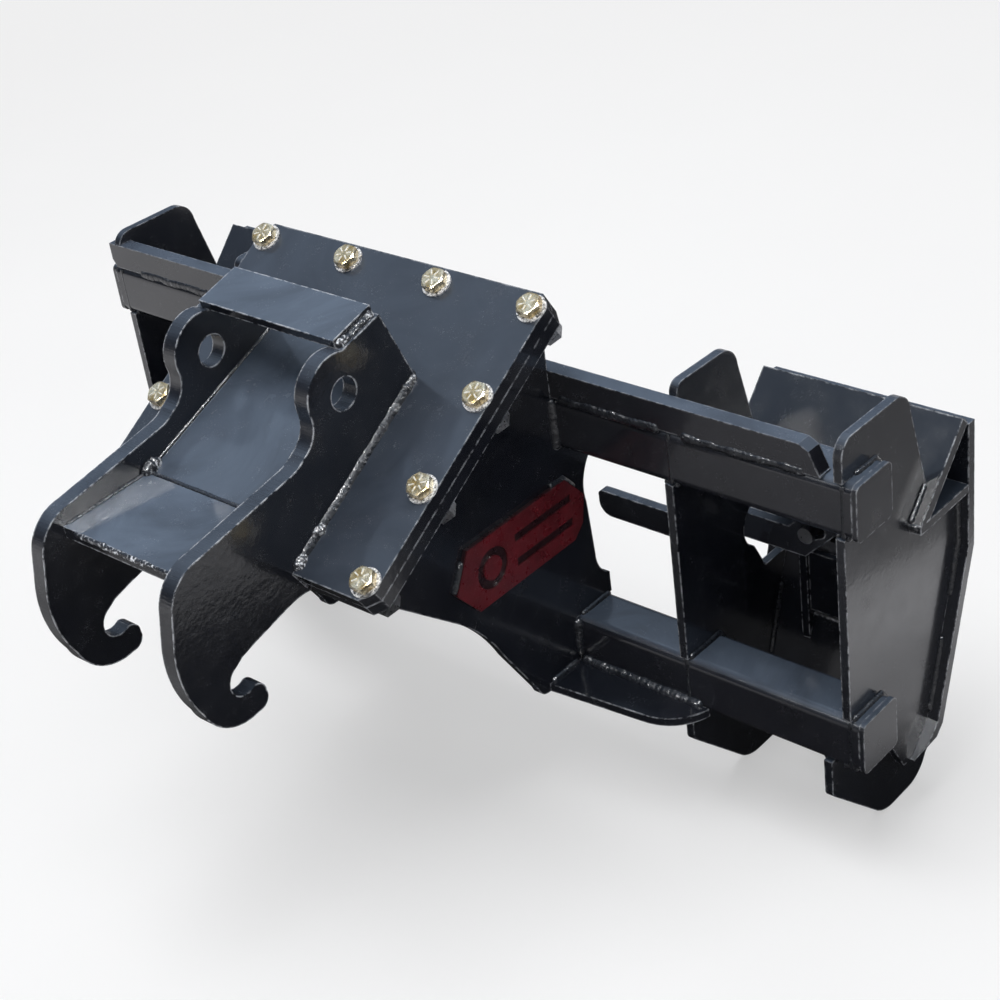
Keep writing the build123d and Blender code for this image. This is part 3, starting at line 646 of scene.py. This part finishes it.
# world: pale for the camera, an overcast top and a dim horizon for reflections
world = bpy.data.worlds.new("studio")
bpy.context.scene.world = world
world.use_nodes = True
nt = world.node_tree
for n in list(nt.nodes):
    nt.nodes.remove(n)
out = nt.nodes.new("ShaderNodeOutputWorld")
lp = nt.nodes.new("ShaderNodeLightPath")
mixs = nt.nodes.new("ShaderNodeMixShader")
bg_cam = nt.nodes.new("ShaderNodeBackground")
bg_cam.inputs[0].default_value = (0.95, 0.95, 0.95, 1)
bg_cam.inputs[1].default_value = 1.0
bg = nt.nodes.new("ShaderNodeBackground")
tc = nt.nodes.new("ShaderNodeTexCoord")
sep = nt.nodes.new("ShaderNodeSeparateXYZ")
nt.links.new(tc.outputs["Generated"], sep.inputs[0])
rampn = nt.nodes.new("ShaderNodeValToRGB")
rampn.color_ramp.elements[0].position = 0.0
rampn.color_ramp.elements[0].color = (0.42, 0.43, 0.45, 1)
rampn.color_ramp.elements[1].position = 1.0
rampn.color_ramp.elements[1].color = (0.62, 0.76, 0.95, 1)
for pos, col in ((0.48, (0.20, 0.20, 0.22, 1)), (0.55, (0.07, 0.08, 0.10, 1)), (0.70, (0.12, 0.15, 0.20, 1)), (0.82, (0.25, 0.32, 0.42, 1)), (0.92, (0.55, 0.68, 0.86, 1))):
    e = rampn.color_ramp.elements.new(pos)
    e.color = col
mr = nt.nodes.new("ShaderNodeMapRange")
mr.inputs["From Min"].default_value = -1.0
mr.inputs["From Max"].default_value = 1.0
nt.links.new(sep.outputs[2], mr.inputs["Value"])
nt.links.new(mr.outputs[0], rampn.inputs[0])
nt.links.new(rampn.outputs[0], bg.inputs[0])
bg.inputs[1].default_value = 0.9
bg_dif = nt.nodes.new("ShaderNodeBackground")
bg_dif.inputs[0].default_value = (0.60, 0.60, 0.61, 1)
bg_dif.inputs[1].default_value = 0.80
mixd = nt.nodes.new("ShaderNodeMixShader")
nt.links.new(lp.outputs["Is Diffuse Ray"], mixd.inputs[0])
nt.links.new(bg.outputs[0], mixd.inputs[1])
nt.links.new(bg_dif.outputs[0], mixd.inputs[2])
nt.links.new(lp.outputs["Is Camera Ray"], mixs.inputs[0])
nt.links.new(mixd.outputs[0], mixs.inputs[1])
nt.links.new(bg_cam.outputs[0], mixs.inputs[2])
nt.links.new(mixs.outputs[0], out.inputs[0])


def area(name, loc, target, size, power, color=(1, 1, 1), shape="RECTANGLE", size_y=None):
    ld = bpy.data.lights.new(name, "AREA")
    ld.energy = power
    ld.color = color
    ld.shape = shape
    ld.size = size
    ld.size_y = size_y or size
    o = bpy.data.objects.new(name, ld)
    o.location = loc
    d = Vector(target) - Vector(loc)
    o.rotation_euler = d.to_track_quat("-Z", "Y").to_euler()
    bpy.context.scene.collection.objects.link(o)
    return o


mid = Vector([(a + b) / 2 for a, b in zip(LO0, HI0)])
for L in (area("key_top", (-0.2, -0.6, 3.2), mid, 3.0, 100, (0.985, 0.99, 1.0), size_y=2.2),
          area("fill_back", (-0.6, 2.8, 2.2), mid, 2.4, 16, (0.99, 0.99, 1.0), size_y=1.2),
          area("fill_right", (3.0, -0.6, 1.6), mid, 1.6, 10, (1.0, 0.99, 0.97), size_y=1.2)):
    L.visible_glossy = False
# small bright lamps that only the rounded edges and beads pick up
for L in (area("strip_a", (0.9, -0.3, 2.9), mid, 0.9, 80, (1, 1, 1), size_y=0.07),
          area("strip_b", (1.6, -1.9, 2.6), mid, 0.8, 70, (1, 1, 1), size_y=0.07),
          area("strip_c", (-0.4, -2.6, 2.3), mid, 0.9, 60, (1, 1, 1), size_y=0.07),
          area("strip_d", (2.4, 1.2, 1.9), mid, 0.7, 40, (1, 1, 1), size_y=0.07)):
    L.visible_diffuse = False
vs = bpy.context.scene.view_settings
vs.view_transform = "Standard"
vs.look = "None"
vs.exposure = 0.0

# ------------------------------------------------------------------ camera
RV = (2.0544, 0.6830, -0.5425)
TV = Vector((-79.5508, -154.2579, 2202.8925))
ang = math.sqrt(sum(c * c for c in RV))
Rm = Matrix.Rotation(ang, 3, Vector([c / ang for c in RV]))
C = -(Rm.transposed() @ TV)
cam = bpy.data.cameras.new("camera")
cam.sensor_width = 36.0
cam.sensor_fit = "HORIZONTAL"
cam.lens = 1990.48 / 1000.0 * 36.0
cam.clip_end = 200
co = bpy.data.objects.new("camera", cam)
bpy.context.scene.collection.objects.link(co)
rot = Matrix((Rm[0], -Rm[1], -Rm[2])).transposed()
M = rot.to_4x4()
M.translation = W(*C)
co.matrix_world = M
bpy.context.scene.camera = co

bpy.context.view_layer.update()
